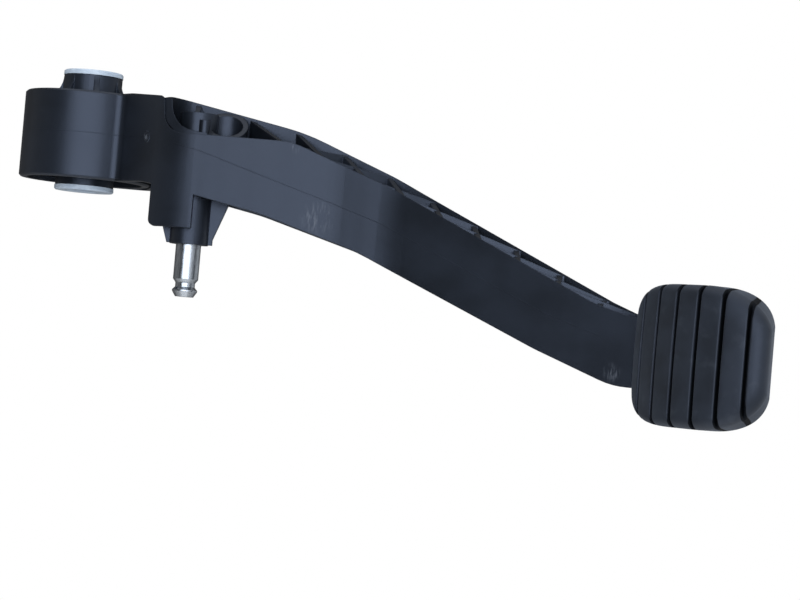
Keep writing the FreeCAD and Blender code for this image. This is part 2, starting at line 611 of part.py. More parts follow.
def padShell(inset, depthNear, depthFar):
    """The part of the pad between two depths under its tread."""
    length = 2 * size("padWidth")
    drop, reach = treadCentre
    outer = column(drop, reach, treadRadius - depthNear, padSide - length / 2, padSide + length / 2)
    inner = column(drop, reach, treadRadius - depthFar, padSide - length, padSide + length)
    prism = padPrism(inset, -2.0, treadRadius / 2)
    return prism.common(outer).cut(inner)


padPlate = feature("padPlate", padShell(size("rubberSkirt"), size("rubberFront"), plateDepth))

gussets = []
gussetFar = (size("padWidth") / 2 - size("rubberSkirt") - size("lipReach") - size("gussetEnd"))
gussetTop = size("gussetInner") + size("gussetSlope")
for number in range(2):
    angle = size("gussetHeading") - number * size("gussetTurn")
    foot, low = onTread(angle, plateBack), onTread(angle, plateDepth + size("gussetEnd"))
    back = onTread(angle, plateDepth + size("gussetHeight"))
    for turn in (-1, 1):
        spots = [(foot, size("gussetInner")), (foot, gussetFar), (low, gussetFar), (back, gussetTop),
                 (back, size("gussetInner"))]
        corners = [Vector(spot[1], padSide + turn * side, -spot[0]) for spot, side in spots]
        acrossDrop, acrossReach = direction(angle)
        shift = Vector(acrossReach, 0, -acrossDrop) * size("ribThick")
        face = Part.Face(Part.makePolygon(corners + corners[:1]))
        face.translate(shift * -0.5)
        gussets.append(face.extrude(shift))
padGussets = feature("padGussets", gussets[0].fuse(gussets[1:]))

# The arm is moulded in one piece.



def joined(label, items):
    fusion = document.addObject("Part::MultiFuse", label)
    fusion.Shapes = items
    return fusion


hub = joined("hub", [hubRing, hubWeb, pivotTube, hubGussets, hubCrease])
beam = joined("beam", [rearWall, frontWall, armWeb, rearTab, armRibs, roundCell, pinBoss, pinGussets])
foot = joined("foot", [padPlate, padGussets])
armSolid = joined("armSolid", [hub, beam, foot])
armSolid.Refine = True
bores = joined("bores", [seatBore, pinHole])
pedalArm = document.addObject("Part::Cut", "pedal_arm")
pedalArm.Base = armSolid
pedalArm.Tool = bores
pedalArm.Label = "pedal_arm"


def turnedBody(label, corners):
    """A body turned about the pivot direction; corners are (radius, length) expressions."""
    body = document.addObject("PartDesign::Body", label)
    body.Label = label
    profile = body.newObject("Sketcher::SketchObject", label + "Profile")
    plane = [item for item in body.Origin.OriginFeatures if item.Role == "XY_Plane"][0]
    profile.AttachmentSupport = [(plane, "")]
    profile.MapMode = "FlatFace"
    values = []
    for radius, length in corners:
        sheet.set("D1", "=" + radius.replace("Sizes.", ""))
        sheet.set("D2", "=" + length.replace("Sizes.", ""))
        document.recompute([sheet])
        values.append(Vector(float(sheet.get("D1")), float(sheet.get("D2")), 0))
    sheet.clear("D1")
    sheet.clear("D2")
    for start, end in zip(values, values[1:] + values[:1]):
        profile.addGeometry(Part.LineSegment(start, end), False)
    for index in range(len(values)):
        following = (index + 1) % len(values)
        profile.addConstraint(Sketcher.Constraint("Coincident", index, 2, following, 1))
    for index, (radius, length) in enumerate(corners):
        spot = profile.addConstraint(Sketcher.Constraint("DistanceX", -1, 1, index, 1, values[index].x))
        profile.setExpression(f"Constraints[{spot}]", radius)
        if length == "0":
            profile.addConstraint(Sketcher.Constraint("PointOnObject", index, 1, -1))
        else:
            spot = profile.addConstraint(
                Sketcher.Constraint("DistanceY", -1, 1, index, 1, values[index].y))
            profile.setExpression(f"Constraints[{spot}]", length)
    turn = body.newObject("PartDesign::Revolution", label + "Turn")
    turn.Profile = profile
    turn.ReferenceAxis = (profile, ["V_Axis"])
    turn.Angle = 360
    profile.Visibility = False
    return body


bore = "Sizes.sleeveRadius + Sizes.sleeveClearance"
shank = "Sizes.seatRadius - Sizes.bushClearance"
bevel = "Sizes.bushChamfer"
total = "Sizes.bushLength + Sizes.flangeThick"
bushCorners = [
    (f"{bore} + {bevel}", "0"), (f"{shank} - {bevel}", "0"), (shank, bevel),
    (shank, "Sizes.bushLength"), ("Sizes.flangeRadius", "Sizes.bushLength"),
    ("Sizes.flangeRadius", f"{total} - {bevel}"), (f"Sizes.flangeRadius - {bevel}", total),
    (f"{bore} + {bevel}", total), (bore, f"{total} - {bevel}"), (bore, bevel),
]
bushRight = turnedBody("pivot_bush_right", bushCorners)
bushRight.setExpression("Placement.Base.y", f"Sizes.halfWidth - ({total})")
bushLeft = turnedBody("pivot_bush_left", bushCorners)
bushLeft.Placement = Placement(Vector(0, 0, 0), Rotation(Vector(0, 0, 1), 180))
bushLeft.setExpression("Placement.Base.y", f"{total} - Sizes.halfWidth")

tip = "Sizes.pinTipLength"
landEnd = f"{tip} + Sizes.pinHeadLand"
neckStart = f"{landEnd} + Sizes.pinHeadTaper"
neckEnd = f"{neckStart} + Sizes.pinNeckLength"
shankStart = f"{neckEnd} + Sizes.pinNeckTaper"
shoulder = f"{shankStart} + Sizes.pinShank"
shankEnd = f"{shoulder} + Sizes.pinSeat"
pinCorners = [
    ("0.01", "0"), ("Sizes.pinTipRadius", "0"), ("Sizes.pinRadius", tip),
    ("Sizes.pinRadius", landEnd), ("Sizes.pinNeckRadius", neckStart),
    ("Sizes.pinNeckRadius", neckEnd), ("Sizes.pinRadius", shankStart),
    ("Sizes.pinRadius", shoulder), ("Sizes.pinSeatRadius", shoulder),
    ("Sizes.pinSeatRadius", f"{shankEnd} - Sizes.pinTopBevel"),
    ("Sizes.pinSeatRadius - Sizes.pinTopBevel", shankEnd),
    ("0.01", shankEnd),
]
pushrodPin = turnedBody("pushrod_pin", pinCorners)
pushrodPin.setExpression("Placement.Base.x", "Sizes.pinReach")
pushrodPin.setExpression("Placement.Base.y", f"-Sizes.bossBottom - ({shoulder})")
pushrodPin.setExpression("Placement.Base.z", "-Sizes.pinDrop")
document.recompute()

# Pad rubber, stretched over the plate.

rubber = padShell(0, 0, plateDepth + size("rubberLip"))
spare = size("rubberClearance")
drop, reach = treadCentre
backRegion = column(drop, reach, plateRadius, padSide - size("padWidth"), padSide + size("padWidth"))
rubber = rubber.cut(padShell(size("rubberSkirt") - spare, size("rubberFront") - spare,
                             plateDepth + spare))
rubber = rubber.cut(padPrism(size("rubberSkirt") + size("lipReach"),
                             -1.0, treadRadius / 2).common(backRegion))
neckSpare = size("neckClearance")
neckTop = heightAt("rearTop", size("treadDrop")) + neckSpare
neckBottom = heightAt("bottom", farDrop) - neckSpare
neckPoints, neckRadii = shifted(rearPoints, rearRadii, neckSpare)
neckStart = neckPoints[-2]
neckEnd = whereMeets(neckStart, size("lowerHeading"), treadRadius - size("rubberFront"))[0]
neckLow = onTread(middleHeading, treadRadius)
neckOutline = polygonPieces([neckStart, neckEnd, onTread(middleHeading, plateDepth), neckLow])
rubber = rubber.cut(planSolid(neckOutline, neckBottom, neckTop))
halfGroove = size("grooveWidth") / 2
for number in range(int(size("grooveCount"))):
    travel = size("grooveStart") + number * size("groovePitch")
    angle = size("treadHeading") - math.degrees(travel / treadRadius)
    top = onTread(angle, -2.0)
    floor = onTread(angle, size("grooveDepth"))
    spots = [stepFrom(top, angle, -halfGroove), stepFrom(floor, angle, -halfGroove),
             stepFrom(floor, angle, halfGroove), stepFrom(top, angle, halfGroove)]
    pieces = polygonPieces(spots)
    rubber = rubber.cut(planSolid(pieces, padSide - size("padWidth"), padSide + size("padWidth")))
padRubber = feature("pad_rubber", rubber)
padRubber.Label = "pad_rubber"
document.recompute()

# Every object has computed, and each part is one valid solid.

for item in document.Objects:
    if "Invalid" in item.State or "Error" in item.State:
        raise RuntimeError(f"{item.Label} did not compute: {item.State}")

os.makedirs("parts", exist_ok=True)
for item in (pedalArm, bushRight, bushLeft, pushrodPin, padRubber):
    shape = item.Shape
    if shape.isNull() or not shape.isValid() or len(shape.Solids) != 1:
        raise RuntimeError(f"{item.Label} is not one valid solid ({len(shape.Solids)} solids)")
    shape.exportStep(f"parts/{item.Label}.step")
    print(f"{item.Label}: {shape.Volume:.0f} mm3, {len(shape.Faces)} faces")
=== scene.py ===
import bmesh
import bpy
import math
import numpy as np
from mathutils import Matrix, Vector


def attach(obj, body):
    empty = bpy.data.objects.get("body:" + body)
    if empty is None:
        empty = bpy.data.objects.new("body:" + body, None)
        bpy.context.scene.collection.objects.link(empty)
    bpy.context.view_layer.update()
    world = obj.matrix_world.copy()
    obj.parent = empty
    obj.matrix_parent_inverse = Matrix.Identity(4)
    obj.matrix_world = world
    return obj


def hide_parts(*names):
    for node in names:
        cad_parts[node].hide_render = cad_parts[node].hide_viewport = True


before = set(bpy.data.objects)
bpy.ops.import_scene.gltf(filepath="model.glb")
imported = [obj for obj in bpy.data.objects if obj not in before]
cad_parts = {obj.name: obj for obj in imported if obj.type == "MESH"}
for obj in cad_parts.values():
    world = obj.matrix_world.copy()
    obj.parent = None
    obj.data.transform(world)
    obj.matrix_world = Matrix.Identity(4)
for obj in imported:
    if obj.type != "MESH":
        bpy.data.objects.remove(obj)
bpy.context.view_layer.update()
scene = bpy.context.scene
print("stage: frame loaded")

# Clutch pedal in its fitted position. "drop" is a distance down from the pivot, "reach" one back
# towards the driver (+X) and "side" one along the pivot (+Y). The pieces' dictionaries hold
# millimetres and degrees, the studio's and the camera's hold metres.


def framePoint(reach, side, drop):
    return Vector((reach, side, -drop)) / 1000


# An sRGB hex colour as linear values.
def toLinear(hexColour):
    channels = [int(hexColour[start:start + 2], 16) / 255 for start in (1, 3, 5)]
    return [c / 12.92 if c <= 0.04045 else ((c + 0.055) / 1.055) ** 2.4 for c in channels] + [1.0]


# Settings are the node's own properties, or its sockets by name or number. A link comes from a
# socket, or from a node's first output.
def addNode(tree, kind, settings=None, links=None):
    node = tree.nodes.new(kind)
    for name, value in (settings or {}).items():
        if isinstance(name, str) and hasattr(node, name):
            setattr(node, name, value)
        else:
            node.inputs[name].default_value = value
    for name, source in (links or {}).items():
        tree.links.new(getattr(source, "outputs", [source])[0], node.inputs[name])
    return node


# Starts a finish with its patterns, its shade with stains on it, and its roughness. A pattern is a
# size in millimetres, a stretch along X, Y and Z, and a detail. The shade and the roughness follow
# one of them, and a stain is a pattern, the range where it shows, its strength and its colour.
def startFinish(look):
    material = bpy.data.materials.new(look["name"])
    material.use_nodes = True
    tree = material.node_tree
    tree.nodes.clear()
    place = addNode(tree, "ShaderNodeTexCoord").outputs["Object"]
    patterns = {}
    for name, (sizeMm, stretch, detail) in look["patterns"].items():
        stretched = addNode(tree, "ShaderNodeMapping", {"Scale": stretch}, {"Vector": place})
        patterns[name] = addNode(tree, "ShaderNodeTexNoise", {"Scale": 1000 / sizeMm, "Detail": detail},
                                 {"Vector": stretched})
    shadePattern, low, high = look["shade"]
    shade = addNode(tree, "ShaderNodeMapRange",
                    {"interpolation_type": "SMOOTHSTEP", "From Min": low, "From Max": high},
                    {"Value": patterns[shadePattern]})
    colour = addNode(tree, "ShaderNodeMix",
                     {"data_type": "RGBA", 6: toLinear(look["dark"]), 7: toLinear(look["light"])},
                     {0: shade}).outputs[2]
    for name, low, high, strength, stainColour in look["stains"]:
        stain = addNode(tree, "ShaderNodeMapRange",
                        {"interpolation_type": "SMOOTHSTEP", "From Min": low, "From Max": high,
                         "To Max": strength}, {"Value": patterns[name]})
        colour = addNode(tree, "ShaderNodeMix", {"data_type": "RGBA", 7: toLinear(stainColour)},
                         {0: stain, 6: colour}).outputs[2]
    rough = addNode(tree, "ShaderNodeMath",
                    {"operation": "MULTIPLY_ADD", 1: look["roughSpread"], 2: look["roughness"]},
                    {0: patterns[shadePattern]})
    return material, patterns, colour, rough


# Ends a finish with its softened edges, its bumps, each a depth and a strength, and the shader.
def endFinish(look, material, patterns, links):
    tree = material.node_tree
    normal = {}
    if look["edgeMm"]:
        bevel = addNode(tree, "ShaderNodeBevel", {"samples": 4, "Radius": look["edgeMm"] / 1000})
        normal = {"Normal": bevel}
    for name, (depthMm, strength) in look["bumps"].items():
        bump = addNode(tree, "ShaderNodeBump", {"Distance": depthMm / 1000, "Strength": strength},
                       {"Height": patterns[name], **normal})
        normal = {"Normal": bump}
    shader = addNode(tree, "ShaderNodeBsdfPrincipled", look["shader"], {**links, **normal})
    addNode(tree, "ShaderNodeOutputMaterial", {}, {"Surface": shader})


# Glass-filled nylon, injection moulded: a cool near-black with a satin sheen that is uneven where
# the fibres lie, soft sink marks over the ribs, and pale scuffs from handling.
armLook = {
    "name": "mouldedGlassNylon", "dark": "#0c0f13", "light": "#13171d",
    "roughness": 0.34, "roughSpread": 0.10, "edgeMm": 0.5,
    "shader": {"IOR": 1.53, "Specular Tint": toLinear("#d2e2ff")},
    "patterns": {"cloud": (22, (1, 1, 0.5), 4),
                 "grain": (0.35, (1, 1, 1), 2),  # really near 0.1 mm, drawn coarser so that it shows
                 "fibre": (2.2, (1, 1, 0.18), 4),
                 "sink": (11, (0.3, 0.07, 1), 1),
                 "streak": (1.3, (1, 0.22, 1), 4)},
    "shade": ("cloud", 0.35, 0.65), "stains": [],
    "bumps": {"sink": (0.25, 0.6), "fibre": (0.05, 0.35), "grain": (0.04, 0.5)},
    "scuffColour": "#8a9099", "scuffStrength": 0.42, "scuffRough": 0.2, "streakRange": (0.46, 0.70),
    "scuffs": [((65.5, -34, 109.5), 9), ((64, -3, 97), 5), ((66, -5.5, 113), 4.5),
               ((42.8, -3.4, 31.2), 3.0), ((121, -89, 235.5), 5)]}  # reach, side and drop, and radius


def armFinish():
    material, patterns, colour, rough = startFinish(armLook)
    tree = material.node_tree
    place = addNode(tree, "ShaderNodeTexCoord").outputs["Object"]
    scuffed = None
    for spot, radius in armLook["scuffs"]:
        away = addNode(tree, "ShaderNodeVectorMath", {"operation": "DISTANCE", 1: framePoint(*spot)},
                       {0: place})
        near = addNode(tree, "ShaderNodeMapRange",
                       {"interpolation_type": "SMOOTHSTEP", "From Max": radius / 1000,
                        "To Min": 1.0, "To Max": 0.0}, {"Value": away.outputs["Value"]})
        if scuffed is None:
            scuffed = near
        else:
            scuffed = addNode(tree, "ShaderNodeMath", {"operation": "MAXIMUM"}, {0: scuffed, 1: near})
    low, high = armLook["streakRange"]
    streaks = addNode(tree, "ShaderNodeMapRange",
                      {"interpolation_type": "SMOOTHSTEP", "From Min": low, "From Max": high},
                      {"Value": patterns["streak"]})
    worn = addNode(tree, "ShaderNodeMath", {"operation": "MULTIPLY"}, {0: scuffed, 1: streaks})
    pale = addNode(tree, "ShaderNodeMath", {"operation": "MULTIPLY", 1: armLook["scuffStrength"]},
                   {0: worn})
    colour = addNode(tree, "ShaderNodeMix", {"data_type": "RGBA", 7: toLinear(armLook["scuffColour"])},
                     {0: pale, 6: colour}).outputs[2]
    rough = addNode(tree, "ShaderNodeMath", {"operation": "MULTIPLY_ADD", 1: armLook["scuffRough"]},
                    {0: worn, 2: rough})
    endFinish(armLook, material, patterns, {"Base Color": colour, "Roughness": rough})
    return material


# Pad rubber. Its tread is part of a cylinder about an axis parallel to the pivot: "travel" runs down
# the tread from its upper end, "across" along the pivot and "depth" in under the tread.
padShape = {
    # the same sizes as the CAD rubber's
    "radius": 69.0, "centreDrop": 309.42, "centreReach": 115.17, "heading": 78.1, "length": 72.7,
    "width": 56.2, "side": -80.2, "thick": 13.8, "cornerAlong": 30.0, "cornerAcross": 18.5,
    "endSpare": 0.3,
    # outline just inside it, with fuller corners where the power is higher, and rounded edges
    "inset": 0.06, "upperPower": 3.0, "lowerPower": 2.0, "backPower": 2.5, "crown": 0.6,
    "edgeUpper": 2.6, "edgeLower": 6.5, "edgeAcross": 4.6, "edgeBack": 2.4, "upperShare": 0.45,
    # grooves with softened lips, shallower near the outline
    "grooveCount": 6, "grooveStart": 8.8, "groovePitch": 11.1, "grooveHalf": 0.95, "grooveDepth": 3.8,
    "wallRun": 0.01, "lip": 0.6, "lipDrop": 0.24, "lipPower": 2.5,
    "fadeReach": 3.0, "fadeLeast": 0.3, "fadePower": 0.7,
    # rows and columns of the mesh
    "endRows": (4.0, 5.5), "cornerTurns": (8.2, 48.0, 1.4), "grooveRows": (0, 0.6, 0.92, 1),
    "lipRows": (0.12, 0.3, 0.6, 1), "landRows": (0.3, 0.5, 0.7), "leastRow": 0.03,
    "columns": (0.7, 0.52, 0.34, 0.17, 0.0), "outlineRows": 400, "outlineColumns": 60,
    "smoothAngle": 85,
    # tool that hollows it for the plate and the neck
    "toolInset": 2.2, "toolDepth": 4.6, "toolReach": 12.0, "toolBack": 30.0, "toolRows": 36,
    "toolColumns": (-1.0, -0.5, 0.0, 0.5, 1.0), "weld": 0.001}

# Rubber, compression moulded: a soft dull black that turns bluish at a slant, with a little grey
# dust, and painted shade down in the grooves: near black there, with less specular and no sheen.
rubberLook = {
    "name": "mouldedRubber", "dark": "#101317", "light": "#191d23",
    "roughness": 0.46, "roughSpread": 0.16, "edgeMm": 0,
    "shader": {"IOR": 1.52, "Specular Tint": toLinear("#d6e4ff"), "Sheen Roughness": 0.45,
               "Sheen Tint": toLinear("#b9c6d8")},
    "patterns": {"cloud": (14, (1, 1, 1), 4),
                 "fine": (0.5, (1, 1, 1), 3),  # the mould's sandblast, drawn coarser than its 0.1 mm
                 "dust": (5, (1, 1, 1), 6)},
    "shade": ("cloud", 0.35, 0.65), "stains": [("dust", 0.55, 0.8, 0.10, "#5a6068")],
    "bumps": {"fine": (0.03, 0.4)},
    "paintedGrooveShade": "#040506", "grooveEdge": (0.1, 0.35), "paintedShadeFrom": 0.15, "paintedShadeTo": 7,
    "paintedShadeGain": 14,  # the painted groove shade is full about 1.3 mm under the tread
    "specular": (0.12, 0.5), "sheen": 0.18}


def rubberFinish():
    material, patterns, colour, rough = startFinish(rubberLook)
    tree = material.node_tree
    place = addNode(tree, "ShaderNodeTexCoord").outputs["Object"]
    axis = framePoint(padShape["centreReach"], 0, padShape["centreDrop"])
    radius = padShape["radius"]
    offset = addNode(tree, "ShaderNodeVectorMath", {"operation": "SUBTRACT", 1: axis}, {0: place})
    fromAxis = addNode(tree, "ShaderNodeVectorMath", {"operation": "MULTIPLY", 1: (1, 0, 1)}, {0: offset})
    away = addNode(tree, "ShaderNodeVectorMath", {"operation": "LENGTH"}, {0: fromAxis})
    # Painted shade in the grooves: from about 0.15 mm under the tread the colour goes towards near black,
    # fully so about 1.3 mm down, and the specular and the sheen are turned down with it.
    deep = addNode(tree, "ShaderNodeMapRange",
                   {"interpolation_type": "SMOOTHSTEP",
                    "From Min": (radius - rubberLook["paintedShadeTo"]) / 1000,
                    "From Max": (radius - rubberLook["paintedShadeFrom"]) / 1000,
                    "To Min": rubberLook["paintedShadeGain"], "To Max": 0.0}, {"Value": away.outputs["Value"]})
    full = addNode(tree, "ShaderNodeMath", {"operation": "MINIMUM", 1: 1.0}, {0: deep})
    # distance along the tread from the nearest groove's middle
    parts = addNode(tree, "ShaderNodeSeparateXYZ", {}, {0: fromAxis})
    turn = addNode(tree, "ShaderNodeMath", {"operation": "ARCTAN2"},
                   {0: parts.outputs["X"], 1: parts.outputs["Z"]})
    start = padShape["grooveStart"] + math.radians(90 - padShape["heading"]) * radius
    travel = addNode(tree, "ShaderNodeMath", {"operation": "MULTIPLY_ADD", 1: radius, 2: -start},
                     {0: turn})
    off = addNode(tree, "ShaderNodeMath", {"operation": "PINGPONG", 1: padShape["groovePitch"] / 2},
                  {0: travel})
    inner, outer = [padShape["grooveHalf"] + spare for spare in rubberLook["grooveEdge"]]
    inside = addNode(tree, "ShaderNodeMapRange",
                     {"interpolation_type": "SMOOTHSTEP", "From Min": inner, "From Max": outer,
                      "To Min": 1.0, "To Max": 0.0}, {"Value": off})
    groove = addNode(tree, "ShaderNodeMath", {"operation": "MULTIPLY"}, {0: inside, 1: full})
    face = addNode(tree, "ShaderNodeMath", {"operation": "SUBTRACT", 0: 1.0}, {1: groove})
    # painted shade: the grooves' colour is mixed towards near black
    colour = addNode(tree, "ShaderNodeMix",
                     {"data_type": "RGBA", 6: toLinear(rubberLook["paintedGrooveShade"])},
                     {0: face, 7: colour}).outputs[2]
    low, high = rubberLook["specular"]
    specular = addNode(tree, "ShaderNodeMapRange",
                       {"interpolation_type": "SMOOTHSTEP", "To Min": low, "To Max": high}, {"Value": face})
    sheen = addNode(tree, "ShaderNodeMath", {"operation": "MULTIPLY", 1: rubberLook["sheen"]}, {0: face})
    endFinish(rubberLook, material, patterns,
              {"Base Color": colour, "Roughness": rough, "Specular IOR Level": specular,
               "Sheen Weight": sheen})
    return material


# Acetal, injection moulded: a bluish white that lets a little light in, smooth and half matt.
bushLook = {
    "name": "mouldedAcetal", "dark": "#a9b7c6", "light": "#bdcad6",
    "roughness": 0.34, "roughSpread": 0.12, "edgeMm": 0.3,
    "shader": {"IOR": 1.48, "Subsurface Weight": 0.15, "Subsurface Radius": (0.002, 0.002, 0.002)},
    "patterns": {"cloud": (6, (1, 1, 1), 3),
                 "fine": (0.4, (1, 1, 1), 2)},  # the mould's polish, drawn coarser than real
    "shade": ("cloud", 0.3, 0.7), "stains": [], "bumps": {"fine": (0.02, 0.3)}}

# Steel, turned and zinc plated: bright, with fine marks along the pin and rings round it from the
# lathe, and duller spots in the plating.
pinLook = {
    "name": "zincPlatedSteel", "dark": "#8d9399", "light": "#b4b9be",
    "roughness": 0.22, "roughSpread": 0.14, "edgeMm": 0.2, "shader": {"Metallic": 1.0},
    "patterns": {"lines": (0.35, (1, 0.08, 1), 3),
                 "rings": (0.25, (0.06, 1, 0.06), 2),  # the lathe's feed, drawn coarser than its 0.1 mm
                 "spots": (1.6, (1, 1, 1), 5)},
    "shade": ("lines", 0.3, 0.7), "stains": [("spots", 0.58, 0.74, 0.35, "#7f858b")],
    "bumps": {"lines": (0.02, 0.25), "rings": (0.01, 0.3)}}


def plainFinish(look):
    material, patterns, colour, rough = startFinish(look)
    endFinish(look, material, patterns, {"Base Color": colour, "Roughness": rough})
    return material


materials = {"pedal_arm": armFinish(), "pad_rubber": rubberFinish(), "pushrod_pin": plainFinish(pinLook)}
materials["pivot_bush_right"] = materials["pivot_bush_left"] = plainFinish(bushLook)
for name, material in materials.items():
    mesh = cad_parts[name].data
    mesh.materials.clear()
    mesh.materials.append(material)
print("stage: materials")


def newPiece(name, points, faces, material, smoothAngle):
    mesh = bpy.data.meshes.new(name)
    mesh.from_pydata(points, [], faces)
    mesh.materials.append(material)
    mesh.shade_smooth()
    mesh.set_sharp_from_angle(angle=math.radians(smoothAngle))
    piece = bpy.data.objects.new(name, mesh)
    scene.collection.objects.link(piece)
    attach(piece, "root")
    return piece


def padPoint(travel, across, depth):
    turn = math.radians(padShape["heading"] + 90) - travel / padShape["radius"]
    radius = padShape["radius"] - depth
    return framePoint(padShape["centreReach"] + radius * math.sin(turn), padShape["side"] + across,
                      padShape["centreDrop"] + radius * math.cos(turn))


# Half the pad's width. The corners are ovals, fuller at a higher power.
def padHalfWidth(travel, lowerPower):
    run = min(travel, padShape["length"] - travel) - padShape["inset"] + padShape["endSpare"]
    share = min(1.0, max(0.0, 1 - run / padShape["cornerAlong"]))
    power = padShape["upperPower"] if travel < padShape["length"] / 2 else lowerPower
    across = padShape["width"] / 2 - padShape["inset"]
    return across - padShape["cornerAcross"] * (1 - (1 - share ** power) ** (1 / power))


# The same for the CAD rubber, whose ovals are seen square to the tread's middle at every depth.
def solidHalfWidth(travel, depth):
    turn = abs(travel - padShape["length"] / 2) / padShape["radius"]
    end = padShape["radius"] * math.sin(padShape["length"] / 2 / padShape["radius"])
    run = end + padShape["endSpare"] - padShape["inset"] - (padShape["radius"] - depth) * math.sin(turn)
    share = min(1.0, max(0.0, 1 - run / padShape["cornerAlong"]))
    across = padShape["width"] / 2 - padShape["inset"]
    return across - padShape["cornerAcross"] * (1 - math.sqrt(1 - share * share))


# Distances from an edge, close together where it rounds off.
def edgeSteps(room):
    return [room * (1 - math.cos(math.radians(turn))) for turn in range(0, 91, 10)]


# The travels of the mesh's rows, closer at the ends, round the corners and on the grooves' lips.
def padTravels():
    first, last = padShape["inset"], padShape["length"] - padShape["inset"]
    travels = {first + step for step in edgeSteps(padShape["edgeUpper"])}
    travels |= {first + step for step in padShape["endRows"]}
    travels |= {last - step for step in edgeSteps(padShape["edgeLower"])}
    for turn in np.arange(*padShape["cornerTurns"]):
        run = padShape["cornerAlong"] * (1 - math.cos(math.radians(turn))) - padShape["endSpare"]
        travels |= {first + run, last - run}
    shifts = [padShape["grooveHalf"] * share for share in padShape["grooveRows"]]
    shifts += [padShape["grooveHalf"] + padShape["lip"] * share for share in padShape["lipRows"]]
    for number in range(padShape["grooveCount"]):
        middle = padShape["grooveStart"] + number * padShape["groovePitch"]
        travels |= {middle + sign * shift for shift in shifts for sign in (-1, 1)}
        travels |= {middle + padShape["groovePitch"] * share for share in padShape["landRows"]}
    travels = sorted(travel for travel in travels if first <= travel <= last)
    kept = travels[:1]
    for travel in travels[1:]:
        if travel - kept[-1] > padShape["leastRow"]:
            kept.append(travel)
    return kept


# How far a rounded edge lies under its face, at a distance from the edge.
def roundDepth(distance, room):
    rest = np.clip(1 - distance / room, 0, 1)
    return room * (1 - np.sqrt(np.clip(1 - rest ** 2, 0, 1)))


# A groove has steep walls, a round bottom and softened lips.
def grooveDepth(travel):
    half, lip = padShape["grooveHalf"], padShape["lip"]
    shift = min(abs(travel - padShape["grooveStart"] - number * padShape["groovePitch"])
                for number in range(padShape["grooveCount"]))
    if shift < half - padShape["wallRun"]:
        return padShape["grooveDepth"] - half * (1 - math.sqrt(1 - (shift / half) ** 2))
    return padShape["lipDrop"] * max(0.0, 1 - (shift - half) / lip) ** padShape["lipPower"]


# Room for the rounding of the tread's edge, from the upper end over the sides to the lower end.
def edgeRoom(travel):
    upper = max(0.0, 1 - travel / (padShape["upperShare"] * padShape["length"]))
    lower = max(0.0, 1 - (padShape["length"] - travel) / padShape["cornerAlong"])
    return (padShape["edgeAcross"] + (padShape["edgeUpper"] - padShape["edgeAcross"]) * upper
            + (padShape["edgeLower"] - padShape["edgeAcross"]) * lower)


# A solid between two grids of (across, depth) pairs, one row for each travel.
def closedGrid(travels, over, under):
    points = [padPoint(travel, across, depth) for grid in (over, under)
              for travel, row in zip(travels, grid) for across, depth in row]
    rows, columns = len(travels), len(over[0])
    count = rows * columns
    faces = []
    for row in range(rows - 1):
        for column in range(columns - 1):
            corner = row * columns + column
            quad = (corner, corner + 1, corner + columns + 1, corner + columns)
            faces.append(quad)
            faces.append(tuple(count + number for number in reversed(quad)))
    rim = list(range(columns))
    rim += [row * columns + columns - 1 for row in range(1, rows)]
    rim += [(rows - 1) * columns + column for column in range(columns - 2, -1, -1)]
    rim += [row * columns for row in range(rows - 2, 0, -1)]
    for one, two in zip(rim, rim[1:] + rim[:1]):
        faces.append((two, one, count + one, count + two))
    return points, faces


# The across values of a grid, and how far each of its points lies from the outline.
def gridFromOutline(travels, shares, lowerPower):
    first, last = padShape["inset"], padShape["length"] - padShape["inset"]
    fine = np.array(sorted(set(travels) | set(np.linspace(first, last, padShape["outlineRows"]))))
    widths = np.array([padHalfWidth(travel, lowerPower) for travel in fine])
    lines = [np.stack([fine, sign * widths], 1) for sign in (1, -1)]
    for end, width in ((first, widths[0]), (last, widths[-1])):
        ends = np.linspace(-width, width, padShape["outlineColumns"])
        lines.append(np.stack([np.full(len(ends), end), ends], 1))
    starts = np.concatenate([line[:-1] for line in lines])
    steps = np.concatenate([line[1:] - line[:-1] for line in lines])
    across = np.array([[padHalfWidth(travel, lowerPower) * share for share in shares] for travel in travels])
    away = np.zeros(across.shape)
    for row, travel in enumerate(travels):
        offsets = np.stack([np.full(len(shares), travel), across[row]], 1)[:, None] - starts
        along = np.clip((offsets * steps).sum(2) / (steps * steps).sum(1), 0, 1)[..., None]
        away[row] = np.linalg.norm(offsets - along * steps, axis=2).min(1)
    return across, away


def buildPad():
    width = padShape["width"]
    travels = padTravels()
    shares = {1 - 2 * step / width for step in edgeSteps(padShape["edgeAcross"])} | set(padShape["columns"])
    shares = sorted({-share for share in shares if share} | shares)
    across, away = gridFromOutline(travels, shares, padShape["lowerPower"])
    room = np.array([[edgeRoom(travel)] for travel in travels])
    groove = np.array([[grooveDepth(travel)] for travel in travels])
    fade = np.clip(away / padShape["fadeReach"], 0, 1) ** padShape["fadePower"]
    fade = padShape["fadeLeast"] + (1 - padShape["fadeLeast"]) * fade
    over = padShape["inset"] + padShape["crown"] * (2 * across / width) ** 2
    over += roundDepth(away, room) + groove * fade
    acrossBack, awayBack = gridFromOutline(travels, shares, padShape["backPower"])
    under = padShape["thick"] - roundDepth(awayBack, padShape["edgeBack"])
    return closedGrid(travels, np.stack([across, over], 2), np.stack([acrossBack, under], 2))


def cutBy(piece, tool):
    change = piece.modifiers.new("cut", "BOOLEAN")
    change.operation = "DIFFERENCE"
    change.solver = "EXACT"
    change.object = tool
    bpy.context.view_layer.update()
    mesh = bpy.data.meshes.new_from_object(piece.evaluated_get(bpy.context.evaluated_depsgraph_get()))
    piece.modifiers.clear()
    piece.data = mesh
    bpy.data.objects.remove(tool)


